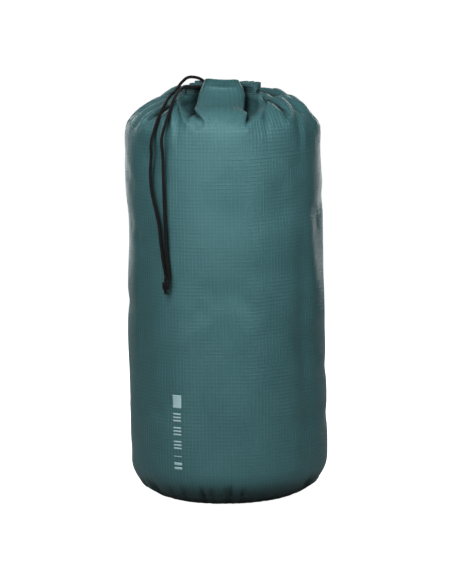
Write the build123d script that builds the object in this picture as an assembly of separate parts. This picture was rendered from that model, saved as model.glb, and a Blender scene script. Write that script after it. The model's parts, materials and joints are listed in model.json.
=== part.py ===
from build123d import *

import os
from math import atan2, cos, degrees, radians, sin

# Stuff sack: a drawstring bag of ripstop cloth with a round sewn-in base, filled out to its working shape.
#
# Millimetres, +Z up. The origin is the centre of the base, on the surface that the sack rests on. The drawcord
# leaves the hem at the front, which faces -Y, and the side seam runs down the back, at +Y. Each sub-part is
# written to parts/NAME.step. Cloth is drawn thicker than it is, as one closed shell for each panel.

# Sack
WALL_RADIUS = 135.5
SHOULDER_HEIGHT = 480.0
DOME_RISE = 84.0
MOUTH_RADIUS = 47.5
CLOTH = 1.0
CLEARANCE = 0.2

# Base: a flat disc that turns up through an arc to its seam, where the wall's own heel arc takes over
FLAT_RADIUS = 88.0
SEAM_RADIUS = 118.5
SEAM_HEIGHT = 14.0
HEEL_TOP = 50.0

# Hem: the tunnel round the mouth that the cord runs in
HEM_OUTER_RADIUS = 47.0
HEM_THICKNESS = 13.0
HEM_BOTTOM = 556.0
HEM_HEIGHT = 22.0
HEM_CORNER = 4.0
HEM_WALL = 0.8

# Seams and thread
SEAM_WIDTH = 10.0
SEAM_PLY = 0.8
THREAD_RADIUS = 0.3
THREAD_LIFT = 0.4
SEAM_ROW_GAP = 6.0
HEM_ROW_LIFT = 1.6
STITCH_START = 3.0
BINDING_WIDTH = 9.0
BINDING_PLY = 2.0

# Cord
CORD_RADIUS = 1.8
CORD_LIFT = 3.0
CROSSING_LIFT = 4.4
EXIT_ANGLE = 9.0
EXIT_HEIGHT = 570.5
BUTTONHOLE_RADIUS = 3.0
CHANNEL_CORD_RADIUS = 40.5
LEAD_ANGLE = 26.0
LINK_END = 3.5

# Where the cord's links meet
EXIT_PIVOT_RADIUS = 52.0
BEND_DOME_ANGLE = 20.0
HANGING_PIVOT_HEIGHT = 486.0
PULL_HEIGHT = 365.0
KNOT_PIVOT_HEIGHT = 317.0

# Knot and cord ends
KNOT_RADII = (6.4, 5.6, 7.2)
KNOT_DROP = 8.5
TIP_LENGTH = 6.0
TIP_SPLAY = 14.0

# Printed mark: plain bars low on the front, each given by the height of its top and how tall it is
MARK_ANGLE = 4.0
MARK_WIDTH = 15.0
MARK_FILM = 0.3
MARK_BARS = ((158.0, 18.0), (133.0, 14.0), (114.0, 14.0), (95.0, 14.0), (74.0, 2.0), (65.0, 11.0))

DOME_SPREAD = WALL_RADIUS - MOUTH_RADIUS


def base_arc_centre_height():
    """Height of the centre of the arc that leaves the flat base at FLAT_RADIUS and meets the seam."""
    run = SEAM_RADIUS - FLAT_RADIUS
    return (run**2 + SEAM_HEIGHT**2) / (2 * SEAM_HEIGHT)


def heel_arc_radius():
    """Radius of the arc that leaves the seam and meets the wall at HEEL_TOP, running straight up."""
    inset = WALL_RADIUS - SEAM_RADIUS
    rise = HEEL_TOP - SEAM_HEIGHT
    return (inset**2 + rise**2) / (2 * inset)


BASE_ARC = base_arc_centre_height()
HEEL_ARC = heel_arc_radius()
HEEL_CENTRE = (WALL_RADIUS - HEEL_ARC, HEEL_TOP)
HEEL_START = degrees(atan2(SEAM_HEIGHT - HEEL_TOP, SEAM_RADIUS - HEEL_CENTRE[0]))
BASE_END = degrees(atan2(SEAM_HEIGHT - BASE_ARC, SEAM_RADIUS - FLAT_RADIUS))


def side_view(radius, height):
    """A point of the profile, which is drawn in the XZ plane and turned about Z."""
    return Vector(radius, 0, height)


def side_arc(centre, radius, start, end):
    """An arc of the profile, from one angle to another, in degrees from +X towards +Z."""
    points = [
        side_view(centre[0] + radius * cos(radians(a)), centre[1] + radius * sin(radians(a)))
        for a in (start, (start + end) / 2, end)
    ]
    return ThreePointArc(*points)


def heel_edge(inset, above_seam=0.0):
    return side_arc(HEEL_CENTRE, HEEL_ARC - inset, HEEL_START + above_seam, 0)


def wall_edge(inset):
    radius = WALL_RADIUS - inset
    return Line(side_view(radius, HEEL_TOP), side_view(radius, SHOULDER_HEIGHT))


def dome_point(inset, angle):
    """A point of the dome, from the shoulder at angle 0 to the mouth's rim at 90."""
    radius = MOUTH_RADIUS + (DOME_SPREAD - inset) * cos(radians(angle))
    height = SHOULDER_HEIGHT + (DOME_RISE - inset) * sin(radians(angle))
    return radius, height


def dome_edge(inset, end_angle=90.0):
    centre = (MOUTH_RADIUS, SHOULDER_HEIGHT)
    spread, rise = DOME_SPREAD - inset, DOME_RISE - inset
    return Plane.XZ * EllipticalCenterArc(centre, spread, rise, arc_size=end_angle)


def band(outer_edges, inner_edges):
    """The face between two runs of profile edges that start and end side by side."""
    first, last = outer_edges[0] @ 0, outer_edges[-1] @ 1
    inner_first, inner_last = inner_edges[0] @ 0, inner_edges[-1] @ 1
    edges = [*outer_edges, *inner_edges, Line(first, inner_first), Line(last, inner_last)]
    return make_face(Wire(edges))


def body_panel():
    """The wall and the gathered shoulder: one sheet, closed into a tube by the side seam."""
    outer = [heel_edge(0), wall_edge(0), dome_edge(0)]
    inner = [heel_edge(CLOTH), wall_edge(CLOTH), dome_edge(CLOTH)]
    return revolve(band(outer, inner), Axis.Z)


def base_panel():
    """The round base, flat in the middle and turned up at its rim to meet the wall."""
    end = BASE_END - degrees(CLEARANCE / BASE_ARC)
    centre = (FLAT_RADIUS, BASE_ARC)
    outer = [
        Line(side_view(0, 0), side_view(FLAT_RADIUS, 0)),
        side_arc(centre, BASE_ARC, -90, end),
    ]
    inner = [
        Line(side_view(0, CLOTH), side_view(FLAT_RADIUS, CLOTH)),
        side_arc(centre, BASE_ARC - CLOTH, -90, end),
    ]
    return revolve(band(outer, inner), Axis.Z)


def side_seam_allowance():
    """The two edges of the body panel, felled together inside the back of the sack."""
    near, far = CLOTH + CLEARANCE, CLOTH + CLEARANCE + SEAM_PLY
    outer = [wall_edge(near), dome_edge(near, end_angle=60)]
    inner = [wall_edge(far), dome_edge(far, end_angle=60)]
    width = degrees(SEAM_WIDTH / WALL_RADIUS)
    strip = revolve(band(outer, inner), Axis.Z, revolution_arc=width)
    return strip.rotate(Axis.Z, 90 - width / 2)


def side_seam_stitching():
    """Two rows of thread down the back, from the heel over the shoulder."""
    edges = [heel_edge(-THREAD_LIFT, STITCH_START), wall_edge(-THREAD_LIFT), dome_edge(-THREAD_LIFT, 60)]
    path = Wire(edges)
    start = Plane(origin=path @ 0, z_dir=path % 0)
    row = sweep(start * Circle(THREAD_RADIUS), path=path)
    half_gap = degrees(SEAM_ROW_GAP / 2 / WALL_RADIUS)
    return Compound([row.rotate(Axis.Z, 90 + side * half_gap) for side in (-1, 1)])


def base_seam_stitching():
    """The thread that joins the base to the wall, lying in the seam."""
    away = (cos(radians(HEEL_START)), sin(radians(HEEL_START)))
    radius = SEAM_RADIUS + THREAD_LIFT * away[0]
    return Pos(0, 0, SEAM_HEIGHT + THREAD_LIFT * away[1]) * Torus(radius, THREAD_RADIUS)


def base_seam_binding():
    """The tape that binds both raw edges of the base seam, standing inside the sack."""
    inward = (-cos(radians(HEEL_START)), -sin(radians(HEEL_START)))
    reach = CLOTH + CLEARANCE + BINDING_WIDTH / 2
    middle = side_view(SEAM_RADIUS + reach * inward[0], SEAM_HEIGHT + reach * inward[1])
    plane = Plane(origin=middle, x_dir=(inward[0], 0, inward[1]), z_dir=(0, -1, 0))
    return revolve(plane * Rectangle(BINDING_WIDTH, BINDING_PLY), Axis.Z)


def exit_direction(side):
    """The horizontal direction in which the cord leaves the hem, left (-1) or right (1) of the front."""
    angle = radians(-90 + side * EXIT_ANGLE)
    return Vector(cos(angle), sin(angle), 0)


def drawcord_hem():
    """The folded hem: a hollow ring with a buttonhole on each side of the front."""
    middle = side_view(HEM_OUTER_RADIUS - HEM_THICKNESS / 2, HEM_BOTTOM + HEM_HEIGHT / 2)
    plane = Plane(origin=middle, x_dir=(1, 0, 0), z_dir=(0, -1, 0))
    outline = RectangleRounded(HEM_THICKNESS, HEM_HEIGHT, HEM_CORNER)
    hollow = RectangleRounded(
        HEM_THICKNESS - 2 * HEM_WALL, HEM_HEIGHT - 2 * HEM_WALL, HEM_CORNER - HEM_WALL
    )
    hem = revolve(plane * (outline - hollow), Axis.Z)
    for side in (-1, 1):
        direction = exit_direction(side)
        mouth = direction * HEM_OUTER_RADIUS + Vector(0, 0, EXIT_HEIGHT)
        hem -= Plane(origin=mouth, z_dir=direction) * Cylinder(BUTTONHOLE_RADIUS, HEM_THICKNESS / 2)
    return hem


def exit_buttonholes():
    """The thread worked round each buttonhole."""
    rings = []
    for side in (-1, 1):
        direction = exit_direction(side)
        centre = direction * (HEM_OUTER_RADIUS + THREAD_RADIUS * 2) + Vector(0, 0, EXIT_HEIGHT)
        ring = Torus(BUTTONHOLE_RADIUS + THREAD_RADIUS, THREAD_RADIUS)
        rings.append(Plane(origin=centre, z_dir=direction) * ring)
    return Compound(rings)


def hem_stitching():
    """The row of thread that holds the hem down, just above the mouth of the body panel."""
    height = SHOULDER_HEIGHT + DOME_RISE + HEM_ROW_LIFT
    return Pos(0, 0, height) * Torus(HEM_OUTER_RADIUS + THREAD_LIFT, THREAD_RADIUS)


def round_ended_cord(path):
    start = Plane(origin=path @ 0, z_dir=path % 0)
    run = sweep(start * Circle(CORD_RADIUS), path=path)
    ends = [Pos(*(path @ end)) * Sphere(CORD_RADIUS) for end in (0, 1)]
    return run + ends


def channel_cord():
    """The run of cord inside the hem: once round the mouth, and out through both buttonholes."""
    inner, outer = [], []
    for side in (1, -1):
        angle = radians(-90 + side * LEAD_ANGLE)
        inner.append(Vector(cos(angle), sin(angle), 0) * CHANNEL_CORD_RADIUS)
        outer.append(exit_direction(side) * (EXIT_PIVOT_RADIUS - LINK_END))
    loop = ThreePointArc(inner[0], Vector(0, CHANNEL_CORD_RADIUS, 0), inner[1])
    lead_in = Spline(outer[0], inner[0], tangents=[-exit_direction(1), loop % 0])
    lead_out = Spline(inner[1], outer[1], tangents=[loop % 1, exit_direction(-1)])
    return Pos(0, 0, EXIT_HEIGHT) * round_ended_cord(Wire([lead_in, loop, lead_out]))


def link(points):
    """One stretch of cord through the points, with round ends set back from the pivots it runs between."""
    run = Spline(*points)
    set_back = LINK_END / run.length
    return round_ended_cord(run.trim(set_back, 1 - set_back))


def over_dome(x, angle, lift=0.0):
    """Where the cord's centre lies over the dome, at a sideways offset x."""
    radius, height = dome_point(-(CORD_LIFT + lift), angle)
    return (x, -radius, height)


def down_wall(x, height):
    """Where the cord's centre lies against the wall."""
    return (x, -(WALL_RADIUS + CORD_LIFT), height)


def exit_point(side):
    point = exit_direction(side) * EXIT_PIVOT_RADIUS
    return (point.X, point.Y, EXIT_HEIGHT)


def cord_runs():
    """The points of each link of both strands. The right buttonhole feeds the left strand, over the other."""
    left = {
        "shoulder": [
            exit_point(1),
            over_dome(1.0, 74, CROSSING_LIFT + 3.0),
            over_dome(-6.0, 56, CROSSING_LIFT),
            over_dome(-11.5, 38, 0.6),
            over_dome(-16.0, BEND_DOME_ANGLE),
        ],
        "bend": [
            over_dome(-16.0, BEND_DOME_ANGLE),
            over_dome(-19.2, BEND_DOME_ANGLE / 2),
            down_wall(-22.0, HANGING_PIVOT_HEIGHT),
        ],
        "hanging": [
            down_wall(-22.0, HANGING_PIVOT_HEIGHT),
            down_wall(-25.5, 460.0),
            down_wall(-22.5, 430.0),
            down_wall(-14.5, 398.0),
            down_wall(-10.8, PULL_HEIGHT),
        ],
        "lower": [
            down_wall(-10.8, PULL_HEIGHT),
            down_wall(-7.4, 340.0),
            down_wall(-2.6, KNOT_PIVOT_HEIGHT),
        ],
    }
    right = {
        "shoulder": [
            exit_point(-1),
            over_dome(-4.5, 72),
            over_dome(0.0, 55),
            over_dome(0.5, 38),
            over_dome(-0.5, BEND_DOME_ANGLE),
        ],
        "bend": [
            over_dome(-0.5, BEND_DOME_ANGLE),
            over_dome(-1.2, BEND_DOME_ANGLE / 2),
            down_wall(-1.6, HANGING_PIVOT_HEIGHT),
        ],
        "hanging": [
            down_wall(-1.6, HANGING_PIVOT_HEIGHT),
            down_wall(-2.4, 430.0),
            down_wall(-2.0, PULL_HEIGHT),
        ],
        "lower": [
            down_wall(-2.0, PULL_HEIGHT),
            down_wall(0.4, 340.0),
            down_wall(2.6, KNOT_PIVOT_HEIGHT),
        ],
    }
    return {"left": left, "right": right}


def knot_centre():
    return Vector(0, -(WALL_RADIUS + KNOT_RADII[1] + CORD_LIFT / 2), KNOT_PIVOT_HEIGHT - KNOT_DROP)


def end_knot():
    """The overhand knot that ties both strands together, as a plain egg of its size."""
    ball = Sphere(1.0)
    return Pos(*knot_centre()) * scale(ball, KNOT_RADII)


def cord_tip(side):
    """The cut end of one strand, below the knot."""
    splay = radians(side * TIP_SPLAY)
    down = Vector(sin(splay), 0, -cos(splay))
    start = knot_centre() + Vector(side * CORD_RADIUS * 1.3, 0, -KNOT_RADII[2])
    middle = start + down * (TIP_LENGTH / 2)
    return Plane(origin=middle, z_dir=down) * Cylinder(CORD_RADIUS, TIP_LENGTH)


def printed_mark():
    """The printed mark: a column of plain bars, each a film that follows the wall."""
    width = degrees(MARK_WIDTH / WALL_RADIUS)
    bars = []
    for top, height in MARK_BARS:
        inner = WALL_RADIUS + CLEARANCE
        middle = side_view(inner + MARK_FILM / 2, top - height / 2)
        plane = Plane(origin=middle, x_dir=(1, 0, 0), z_dir=(0, -1, 0))
        bar = revolve(plane * Rectangle(MARK_FILM, height), Axis.Z, revolution_arc=width)
        bars.append(bar.rotate(Axis.Z, -90 + MARK_ANGLE - width / 2))
    return Compound(bars)


def parts():
    named = {
        "body_panel": body_panel(),
        "base_panel": base_panel(),
        "side_seam_allowance": side_seam_allowance(),
        "side_seam_stitching": side_seam_stitching(),
        "base_seam_stitching": base_seam_stitching(),
        "base_seam_binding": base_seam_binding(),
        "printed_mark": printed_mark(),
        "drawcord_hem": drawcord_hem(),
        "exit_buttonholes": exit_buttonholes(),
        "hem_stitching": hem_stitching(),
        "channel_cord": channel_cord(),
        "end_knot": end_knot(),
        "cord_tip_left": cord_tip(-1),
        "cord_tip_right": cord_tip(1),
    }
    for strand, runs in cord_runs().items():
        for stretch, points in runs.items():
            named[f"cord_{strand}_{stretch}"] = link(points)
    return named


os.makedirs("parts", exist_ok=True)
for name, shape in parts().items():
    export_step(shape, f"parts/{name}.step")
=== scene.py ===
"""Visual model of the stuff sack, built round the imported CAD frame. Metres, in the frame's own axes.

One cloth simulation draws the tube of cloth in at its mouth while air holds it out. Everything sewn, printed
or laid on the cloth is then placed on that settled surface: a place on it is given by a column (round the
sack) and a row (from the base seam up to the mouth).
"""

import json
from math import cos, pi, radians, sin, sqrt

import bpy
import numpy as np
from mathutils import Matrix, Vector
from mathutils.bvhtree import BVHTree


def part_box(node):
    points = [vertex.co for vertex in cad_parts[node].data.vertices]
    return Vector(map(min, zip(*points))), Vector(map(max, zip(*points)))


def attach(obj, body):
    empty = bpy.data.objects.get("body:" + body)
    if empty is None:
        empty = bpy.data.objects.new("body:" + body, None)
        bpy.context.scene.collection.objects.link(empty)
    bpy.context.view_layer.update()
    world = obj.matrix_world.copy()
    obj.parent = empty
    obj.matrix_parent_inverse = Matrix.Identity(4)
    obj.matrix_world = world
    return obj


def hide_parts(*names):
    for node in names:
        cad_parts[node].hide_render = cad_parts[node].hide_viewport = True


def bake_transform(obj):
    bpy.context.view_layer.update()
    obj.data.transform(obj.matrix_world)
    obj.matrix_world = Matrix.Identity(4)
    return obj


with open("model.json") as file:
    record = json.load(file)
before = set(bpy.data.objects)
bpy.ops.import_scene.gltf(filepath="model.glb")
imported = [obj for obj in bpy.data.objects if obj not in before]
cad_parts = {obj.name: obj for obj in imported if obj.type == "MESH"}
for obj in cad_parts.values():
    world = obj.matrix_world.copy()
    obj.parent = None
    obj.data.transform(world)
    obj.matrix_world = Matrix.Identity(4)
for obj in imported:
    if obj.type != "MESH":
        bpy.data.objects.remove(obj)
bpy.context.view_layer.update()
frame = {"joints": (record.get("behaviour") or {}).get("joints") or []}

WALL_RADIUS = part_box("body_panel")[1].x
CORD_RADIUS = 0.0021
VIEW_AZIMUTH = 35.0

# ------------------------------------------------------------ the cloth, as one tube from base seam to mouth

SEAM_RADIUS = 0.1185
SEAM_HEIGHT = 0.014
BASE_FLAT = 0.088  # radius of the part of the base that rests on the floor
HEEL_CLOTH = 0.0440  # length of cloth from the base seam up to the straight wall
HEEL_TOP = 0.050
SHOULDER_HEIGHT = 0.480
SHOULDER_CLOTH = 0.160  # length of cloth from the shoulder up to the cord
HEM_ABOVE_CORD = 0.012
HEM_BELOW_CORD = 0.012
CORD_HEIGHT = 0.5560
CORD_ROW_SHARE = 0.975  # length of the gathered row of cloth, as a share of the wall's
FLAP_RISE = 0.0130  # how much higher the cord lies in the front flap
FLAP_SPREAD = 0.014
SHOULDER_SINK = 0.020
SHOULDER_FILL = 0.007
NECK_CLOTH = 0.038  # length of cloth below the cord that stands up as a collar
FLAP_CLOTH = 0.064  # the same, at the front flap
AIR_FADE = (0.115, 0.150)  # where up the shoulder the air's push fades
AIR_IN_NECK = 0.10
CLOTH_THICKNESS = 0.0006
COLUMNS = 216

# The mouth's folds, anticlockwise from above: (angle each takes up in degrees, outer radius in metres).
# A radius of None is an open valley between two folds.
FRONT_FOLD_START = -89.0
FRONT_FOLD_ANGLE = -55.0
MOUTH_FOLDS = (
    (68, 0.053), (13, None), (15, 0.052), (34, 0.054), (6, None), (22, 0.050), (20, 0.053), (26, 0.048),
    (22, 0.052), (24, 0.050), (20, 0.054), (26, 0.049), (22, 0.053), (24, 0.055), (14, None),
)


def smooth_step(value, low, high):
    t = np.clip((value - low) / (high - low), 0, 1)
    return t * t * (3 - 2 * t)


def off_angle(angle, degrees):
    """The smallest angle between each angle and a direction given in degrees."""
    return np.angle(np.exp(1j * (angle - radians(degrees))))


def distances(path):
    """How far along a path each of its points is."""
    return np.concatenate([[0], np.cumsum(np.linalg.norm(np.diff(path, axis=0), axis=1))])


def even_steps(total, step):
    count = max(1, round(total / step))
    return [total / count] * count


def row_lengths():
    """Distance along the cloth from the base seam to each row of the grid. The last row is the cord's."""
    steps = even_steps(HEEL_CLOTH, 0.0047)
    steps += even_steps(SHOULDER_HEIGHT - HEEL_TOP, 0.014)
    steps += even_steps(SHOULDER_CLOTH, 0.0042)
    return np.concatenate([[0.0], np.cumsum(steps)])


def mouth_outline(inner_radius):
    """The line that the gathered cloth follows along the cord, as a dense closed polygon."""
    pieces, start = [], FRONT_FOLD_START
    for width, outer_radius in MOUTH_FOLDS:
        t = np.linspace(0, 1, 300, endpoint=False)
        wide = width > 30
        bulge = np.sin(pi * t) ** (0.30 if wide else 0.5) if outer_radius else 0.0 * t
        lean = 4.0 * np.sin(2 * pi * t) if width > 50 else 0.0
        radius = inner_radius + ((outer_radius or inner_radius) - inner_radius) * bulge
        angle = np.radians(start + width * t - lean)
        pieces.append(np.stack([radius * np.cos(angle), radius * np.sin(angle)], 1))
        start += width
    return np.concatenate(pieces)


def gathered_ring(cloth_length):
    """Where each column is held along the cord: the folds are as deep as the cloth's length needs."""
    low, high = 0.004, 0.045
    for _ in range(30):
        inner = (low + high) / 2
        outline = mouth_outline(inner)
        steps = np.linalg.norm(np.roll(outline, -1, 0) - outline, axis=1)
        if steps.sum() > cloth_length:
            low = inner
        else:
            high = inner
    along = np.concatenate([[0], np.cumsum(steps)])
    closed = np.concatenate([outline, outline[:1]])
    at = np.linspace(0, along[-1], COLUMNS, endpoint=False)
    ring = np.stack([np.interp(at, along, closed[:, k]) for k in (0, 1)], 1)
    angle = np.unwrap(np.arctan2(ring[:, 1], ring[:, 0]))
    turn = 2 * pi * np.arange(COLUMNS) / COLUMNS
    return ring, turn + np.mean(angle - turn), angle


def cord_height(angle):
    """The front fold stands up as a flap; round the rest of the mouth the cord lies lower."""
    flap = 1 - smooth_step(np.abs(off_angle(angle, FRONT_FOLD_ANGLE)), radians(19), radians(47))
    return CORD_HEIGHT + FLAP_RISE * flap + 0.0012 * np.sin(3 * angle)


def tube_shapes(lengths):
    """The tube before it is gathered, its flat-cut rest shape, and its shape with the cord's row drawn in."""
    ring, turn, ring_angle = gathered_ring(2 * pi * WALL_RADIUS * CORD_ROW_SHARE)
    around = np.stack([np.cos(turn), np.sin(turn)], 1)
    open_shape = np.zeros((len(lengths), COLUMNS, 3))
    rest_shape = np.zeros_like(open_shape)
    for row, length in enumerate(lengths):
        up = min(length / HEEL_CLOTH, 1.0)
        radius = SEAM_RADIUS + (WALL_RADIUS - SEAM_RADIUS) * sin(up * pi / 2)
        height = SEAM_HEIGHT + (HEEL_TOP - SEAM_HEIGHT) * up + max(0.0, length - HEEL_CLOTH)
        open_shape[row, :, :2] = around * radius
        open_shape[row, :, 2] = height
        rest_shape[row, :, :2] = around * WALL_RADIUS
        rest_shape[row, :, 2] = length
    pucker = np.random.default_rng(11)
    wave = sum(
        pucker.uniform(0.4, 1.0) * np.sin(count * turn + pucker.uniform(0, 2 * pi))
        for count in (17, 23, 29, 31)
    )
    open_shape[0, :, :2] *= 1 + 0.0042 * wave[:, None]
    open_shape[0, :, 2] += 0.0007 * wave
    gathered = open_shape.copy()
    gathered[-1, :, :2] = ring
    gathered[-1, :, 2] = cord_height(ring_angle)
    return open_shape, rest_shape, gathered


def grid_faces(rows, columns, closed=True, looped=False):
    """Faces of a grid of rows by columns. Closed joins its last column to its first, looped its last row."""
    faces = []
    for i in range(rows if looped else rows - 1):
        here, above = i * columns, (i + 1) % rows * columns
        for j in range(columns if closed else columns - 1):
            right = (j + 1) % columns
            faces.append((here + j, here + right, above + right, above + j))
    return faces


def simulate_gather(frames=50, closing_frames=28):
    """Draws the cord's row in while air holds the tube out, and returns the grid of points it settles to."""
    lengths = row_lengths()
    open_shape, rest_shape, gathered = tube_shapes(lengths)
    mesh = bpy.data.meshes.new("tube")
    mesh.from_pydata(open_shape.reshape(-1, 3).tolist(), [], grid_faces(len(lengths), COLUMNS))
    tube = bpy.data.objects.new("tube", mesh)
    scene = bpy.context.scene
    scene.collection.objects.link(tube)
    tube.shape_key_add(name="Basis")
    keys = {}
    for name, shape in (("rest", rest_shape), ("gathered", gathered)):
        keys[name] = tube.shape_key_add(name=name)
        keys[name].data.foreach_set("co", shape.reshape(-1).astype(np.float32))
    cord_row = len(lengths) - 1
    held = list(range(COLUMNS)) + list(range(cord_row * COLUMNS, len(lengths) * COLUMNS))
    tube.vertex_groups.new(name="held").add(held, 1.0, "REPLACE")
    air = tube.vertex_groups.new(name="air")
    shoulder_start = HEEL_CLOTH + SHOULDER_HEIGHT - HEEL_TOP
    for row, length in enumerate(lengths):
        strength = np.interp(length - shoulder_start, AIR_FADE, (1.0, AIR_IN_NECK))
        air.add(list(range(row * COLUMNS, (row + 1) * COLUMNS)), float(strength), "REPLACE")
    scene.frame_start, scene.frame_end = 1, frames
    keys["gathered"].value = 0
    keys["gathered"].keyframe_insert("value", frame=1)
    keys["gathered"].value = 1
    keys["gathered"].keyframe_insert("value", frame=closing_frames)

    cloth = tube.modifiers.new("Cloth", "CLOTH")
    settings = cloth.settings
    settings.quality = 5
    settings.mass = 0.08
    settings.tension_stiffness = 65
    settings.compression_stiffness = 10
    settings.shear_stiffness = 5
    settings.bending_stiffness = 0.03
    settings.tension_damping = settings.compression_damping = settings.shear_damping = 8
    settings.bending_damping = 0.5
    settings.air_damping = 3
    settings.vertex_group_mass = "held"
    settings.use_pressure = True
    settings.uniform_pressure_force = 150
    settings.vertex_group_pressure = "air"
    settings.rest_shape_key = keys["rest"]
    settings.effector_weights.gravity = 0.3
    collision = cloth.collision_settings
    collision.use_collision = False
    collision.use_self_collision = True
    collision.self_distance_min = 0.0014
    collision.collision_quality = 2
    cloth.point_cache.frame_start, cloth.point_cache.frame_end = 1, frames
    for number in range(1, frames + 1):
        scene.frame_set(number)
    settled = tube.evaluated_get(bpy.context.evaluated_depsgraph_get()).data
    points = np.zeros(len(mesh.vertices) * 3, np.float32)
    settled.vertices.foreach_get("co", points)
    bpy.data.objects.remove(tube)
    scene.frame_set(1)
    return points.reshape(len(lengths), COLUMNS, 3).astype(float), lengths


def set_shoulder(grid):
    """Sinks the shoulder in front of the neck, where the cord pulls it down, and fills it at the right."""
    radius = np.hypot(grid[..., 0], grid[..., 1])
    angle = np.arctan2(grid[..., 1], grid[..., 0])
    front = np.exp(-((off_angle(angle, FRONT_FOLD_ANGLE) / radians(50)) ** 2))
    right = np.exp(-((off_angle(angle, 38) / radians(42)) ** 2))
    near_top = smooth_step(grid[..., 2], 0.49, 0.54)
    sunk = np.exp(-(((radius - 0.066) / 0.030) ** 2))
    filled = np.exp(-(((radius - 0.097) / 0.020) ** 2))
    moved = grid.copy()
    moved[..., 2] += near_top * (SHOULDER_FILL * right * filled - SHOULDER_SINK * front * sunk)
    return moved


def stand_neck(grid, lengths):
    """Draws each column up from the shoulder to the cord as a smooth collar, and on to the hem's fold."""
    low = int(np.searchsorted(lengths, lengths[-1] - FLAP_CLOTH))
    ring = grid[-1].copy()
    angle = np.arctan2(ring[:, 1], ring[:, 0])
    ring[:, 2] = cord_height(angle)
    radius = np.hypot(ring[:, 0], ring[:, 1])[:, None]
    outward = np.stack([ring[:, 0], ring[:, 1], np.zeros(COLUMNS)], 1) / radius
    front = 0.5 + 0.5 * np.cos(off_angle(angle, FRONT_FOLD_ANGLE))[:, None]
    flap = 1 - smooth_step(np.abs(off_angle(angle, FRONT_FOLD_ANGLE)), radians(26), radians(56))
    reach = NECK_CLOTH + (FLAP_CLOTH - NECK_CLOTH) * flap
    first = np.searchsorted(lengths, lengths[-1] - reach)
    start = grid[first, np.arange(COLUMNS)]
    crest = smooth_step(radius, 0.030, 0.052)
    toward = (start - ring) * (1.0, 1.0, 0.0)
    sideways = toward - outward * np.sum(toward * outward, axis=1, keepdims=True)
    corner = ring + 0.55 * sideways - outward * 0.002 * crest + 0.30 * (toward - sideways) * flap[:, None]
    corner[:, 2] = start[:, 2] + 0.002 + 0.006 * flap
    steps = even_steps(HEM_ABOVE_CORD, 0.0030)
    lengths = np.concatenate([lengths, lengths[-1] + np.cumsum(steps)])
    t = np.linspace(0, 1, 41)[:, None]
    lean = radians(6) + crest * radians(16) * front - (1 - front) * radians(26)
    top = ring + HEM_ABOVE_CORD * (outward * np.sin(lean) + np.array([0, 0, 1.0]) * np.cos(lean))
    wanted = (lengths[low:] - lengths[low]) / (lengths[-1] - lengths[low])
    neck = np.zeros((len(wanted), COLUMNS, 3))
    for column in range(COLUMNS):
        rise = (1 - t) ** 2 * start[column] + 2 * t * (1 - t) * corner[column] + t**2 * ring[column]
        path = np.concatenate([grid[low:first[column], column], rise, top[column][None]])
        travelled = distances(path)
        for k in range(3):
            neck[:, column, k] = np.interp(wanted * travelled[-1], travelled, path[:, k])
    return spread_flap(np.concatenate([grid[:low], neck])), lengths


def spread_flap(grid):
    """Widens the foot of the front flap, so that its edges slant down into the shoulder."""
    view = radians(VIEW_AZIMUTH)
    across = grid[..., 0] * cos(view) + grid[..., 1] * sin(view)
    depth = grid[..., 0] * sin(view) - grid[..., 1] * cos(view)
    height = grid[..., 2]
    share = smooth_step(depth, 0.018, 0.045) * smooth_step(height, 0.525, 0.546)
    share = share * (1 - smooth_step(height, 0.556, 0.580))
    push = FLAP_SPREAD * np.sin(pi * np.clip(across / 0.062, -1, 1)) * share
    moved = grid.copy()
    moved[..., 0] += push * cos(view)
    moved[..., 1] += push * sin(view)
    return moved


# ---------------------------------------------------------------- the settled cloth as a smooth surface


def spline_weights(t):
    """Weights of four neighbouring grid points on a smooth surface, at fraction t of a step."""
    return ((1 - t) ** 3 / 6, (3 * t**3 - 6 * t**2 + 4) / 6, (-3 * t**3 + 3 * t**2 + 3 * t + 1) / 6, t**3 / 6)


# Puckers above the base seam: (column, depth, width in columns, height)
TUCKS = np.random.default_rng(31).uniform((0, 0.0016, 0.6, 0.009), (COLUMNS, 0.0052, 1.1, 0.018), (34, 4))


def tucks(columns, lengths):
    """How far the small puckers above the base seam pull the cloth in, in metres."""
    total = np.zeros(np.broadcast(columns, lengths).shape)
    if np.min(lengths) > 0.06:
        return total
    for place, depth, width, height in TUCKS:
        off = (columns - place + COLUMNS / 2) % COLUMNS - COLUMNS / 2
        total += depth * np.exp(-((off / width) ** 2) - ((lengths - 0.004) / height) ** 2)
    return total


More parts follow.
